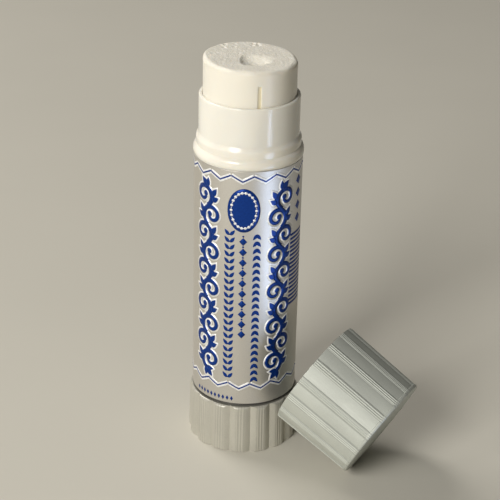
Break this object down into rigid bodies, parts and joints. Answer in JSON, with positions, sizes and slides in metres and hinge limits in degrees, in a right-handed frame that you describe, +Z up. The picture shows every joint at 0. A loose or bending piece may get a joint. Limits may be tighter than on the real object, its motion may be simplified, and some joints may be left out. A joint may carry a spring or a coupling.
{
  "type": "glue stick",
  "caption": "Twist-up adhesive stick standing open, with a fluted base knob, a printed sleeve, an open neck and its fluted cap leaning beside it.",
  "frame": {"origin": "centre of the knob's flat underside, on the table", "axes": "+Z up along the stick's axis, towards the adhesive; -Y is the side that faces the viewer; the cap lies towards +X and -Y"},
  "size_m": [0.0674, 0.055, 0.1194],
  "materials": {
    "white_moulding": "glossy moulded white polypropylene",
    "silver_print": "satin silver film with navy and white print",
    "silver_moulding": "silver-grey pigmented moulding with fine satin lines",
    "natural_moulding": "plain moulded off-white",
    "adhesive": "waxy off-white cast adhesive with a worn top"
  },
  "bodies": {
    "barrel": {"barrel": "white_moulding", "printed_sleeve": "silver_print"},
    "knob": {"twist_knob": "silver_moulding", "lead_screw": "natural_moulding"},
    "carrier": {"carrier": "natural_moulding", "glue": "adhesive"},
    "cap": {"cap": "silver_moulding"}
  },
  "joints": [
    {"name": "knob_turn", "type": "hinge", "parent": "barrel", "child": "knob", "pos_m": [0, 0, 0], "axis": [0, 0, 1], "range_deg": [-420.5, 2304.5]},
    {"name": "carrier_lift", "type": "slide", "parent": "barrel", "child": "carrier", "axis": [0, 0, 1], "range_m": [-0.01167, 0.064]},
    {"name": "cap_lift", "type": "slide", "parent": "barrel", "child": "cap", "axis": [0, 0, 1], "range_m": [0, 0.12]}
  ],
  "couplings": [
    {"joint": "knob_turn", "follows": "carrier_lift", "rad_per_m": 628.32}
  ]
}
